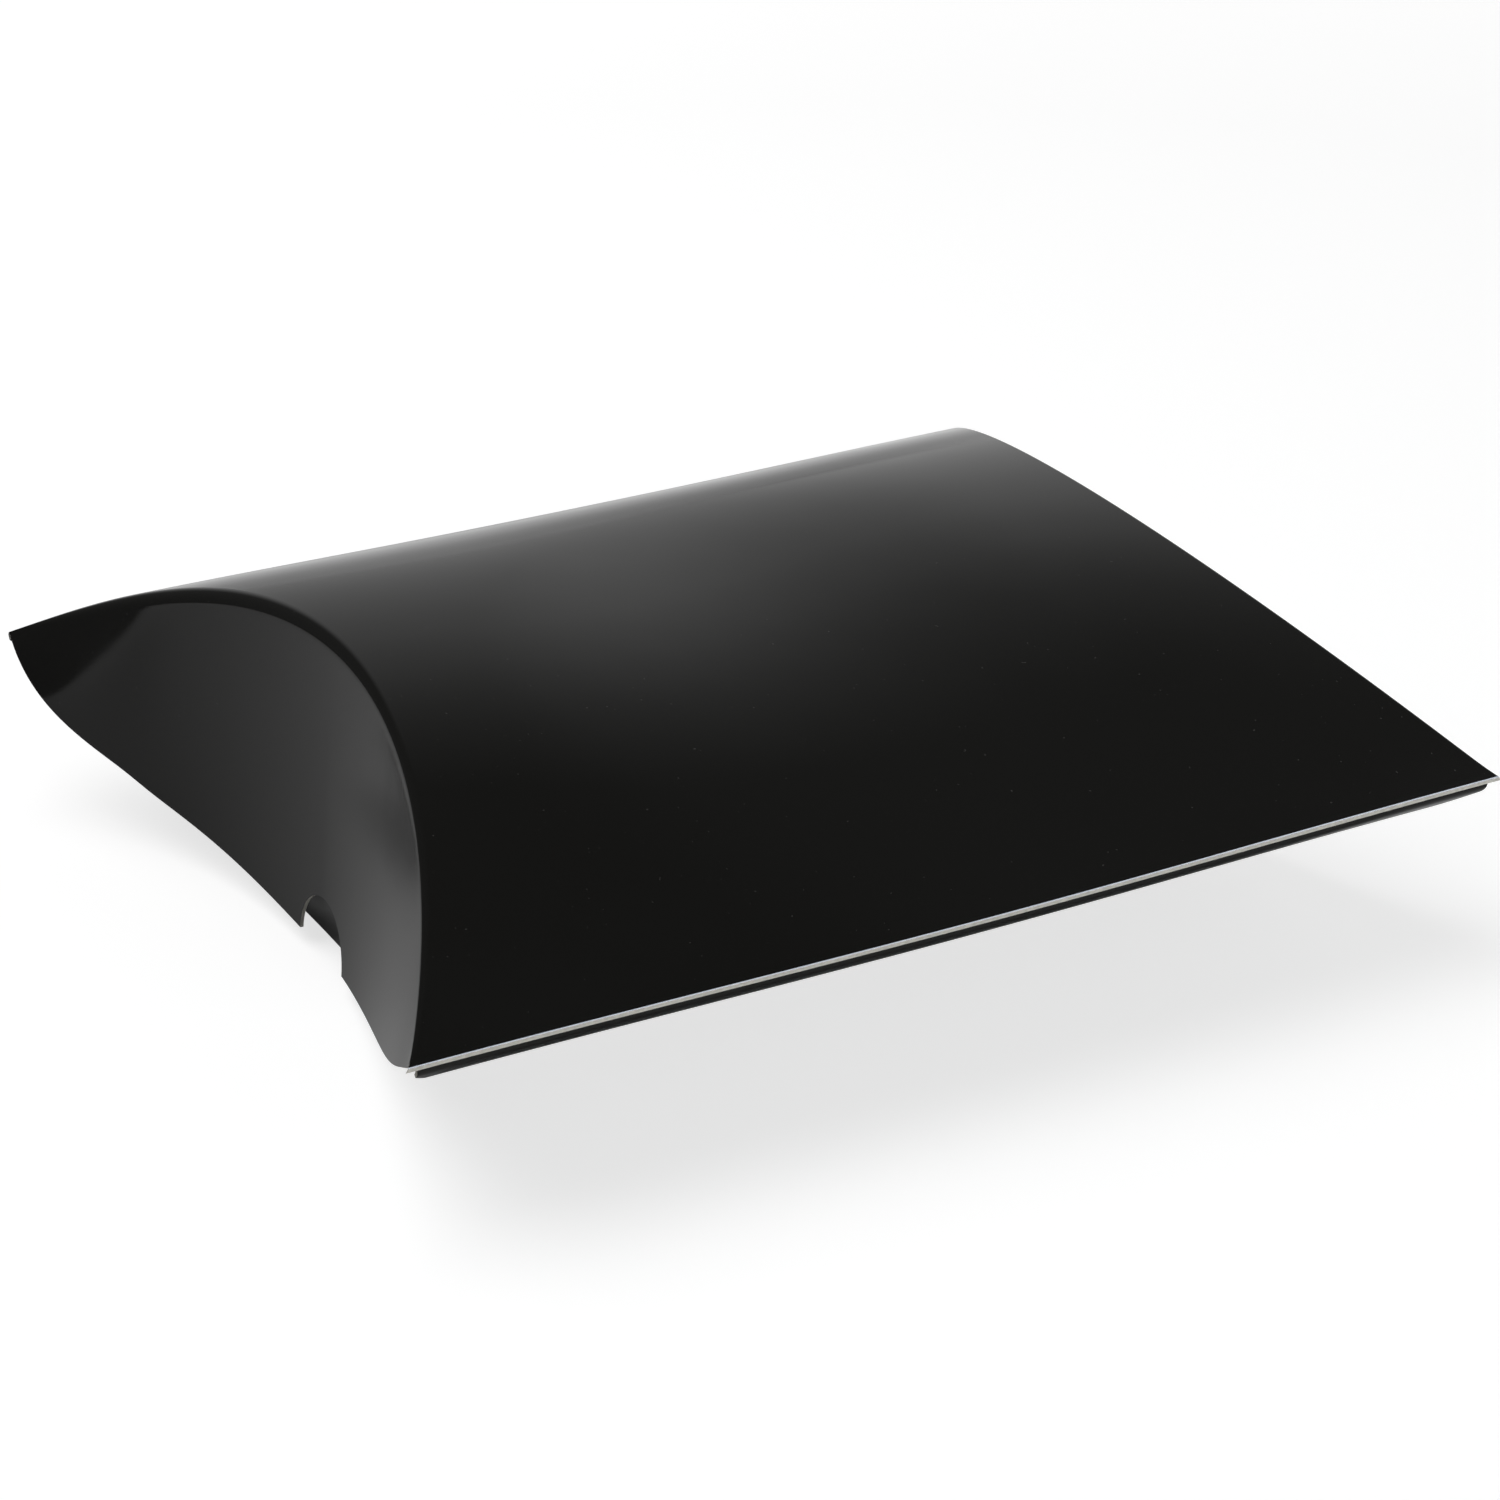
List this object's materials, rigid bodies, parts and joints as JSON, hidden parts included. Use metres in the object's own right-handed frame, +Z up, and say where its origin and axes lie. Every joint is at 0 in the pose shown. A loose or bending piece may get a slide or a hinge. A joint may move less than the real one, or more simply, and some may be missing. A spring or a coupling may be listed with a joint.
{
  "type": "pillow box",
  "caption": "Glossy black paperboard pillow box with arched panels, a glued front seam and concave end flaps that fold in over curved creases.",
  "frame": {"origin": "centre of the bounding box, at the surface that the box lies on", "axes": "+X along the box from the left end to the right end, +Y from the glued front edge to the folded back edge, +Z up"},
  "size_m": [0.1472, 0.1324, 0.043],
  "materials": {
    "black_board": "black printed carton board with a glossy film",
    "seam_adhesive": "dried carton glue"
  },
  "bodies": {
    "carton": {"top_panel": "black_board", "bottom_panel": "black_board", "back_fold": "black_board", "front_fold": "black_board", "seam_tab": "black_board", "seam_glue": "seam_adhesive", "left_outer_crease": "black_board", "left_inner_crease": "black_board", "right_outer_crease": "black_board", "right_inner_crease": "black_board"},
    "left_outer": {"left_outer_flap": "black_board"},
    "left_inner": {"left_inner_flap": "black_board"},
    "right_outer": {"right_outer_flap": "black_board"},
    "right_inner": {"right_inner_flap": "black_board"}
  },
  "joints": [
    {"name": "left_outer_fold", "type": "hinge", "parent": "carton", "child": "left_outer", "pos_m": [-0.0537, 0, 0.043], "axis": [0, 1, 0], "range_deg": [0, 110]},
    {"name": "right_outer_fold", "type": "hinge", "parent": "carton", "child": "right_outer", "pos_m": [0.0537, 0, 0.043], "axis": [0, -1, 0], "range_deg": [0, 110]},
    {"name": "left_inner_fold", "type": "hinge", "parent": "carton", "child": "left_inner", "pos_m": [-0.0525, 0, 0.0012], "axis": [0, 1, 0], "range_deg": [0, 70]},
    {"name": "right_inner_fold", "type": "hinge", "parent": "carton", "child": "right_inner", "pos_m": [0.0525, 0, 0.0012], "axis": [0, -1, 0], "range_deg": [0, 70]}
  ]
}
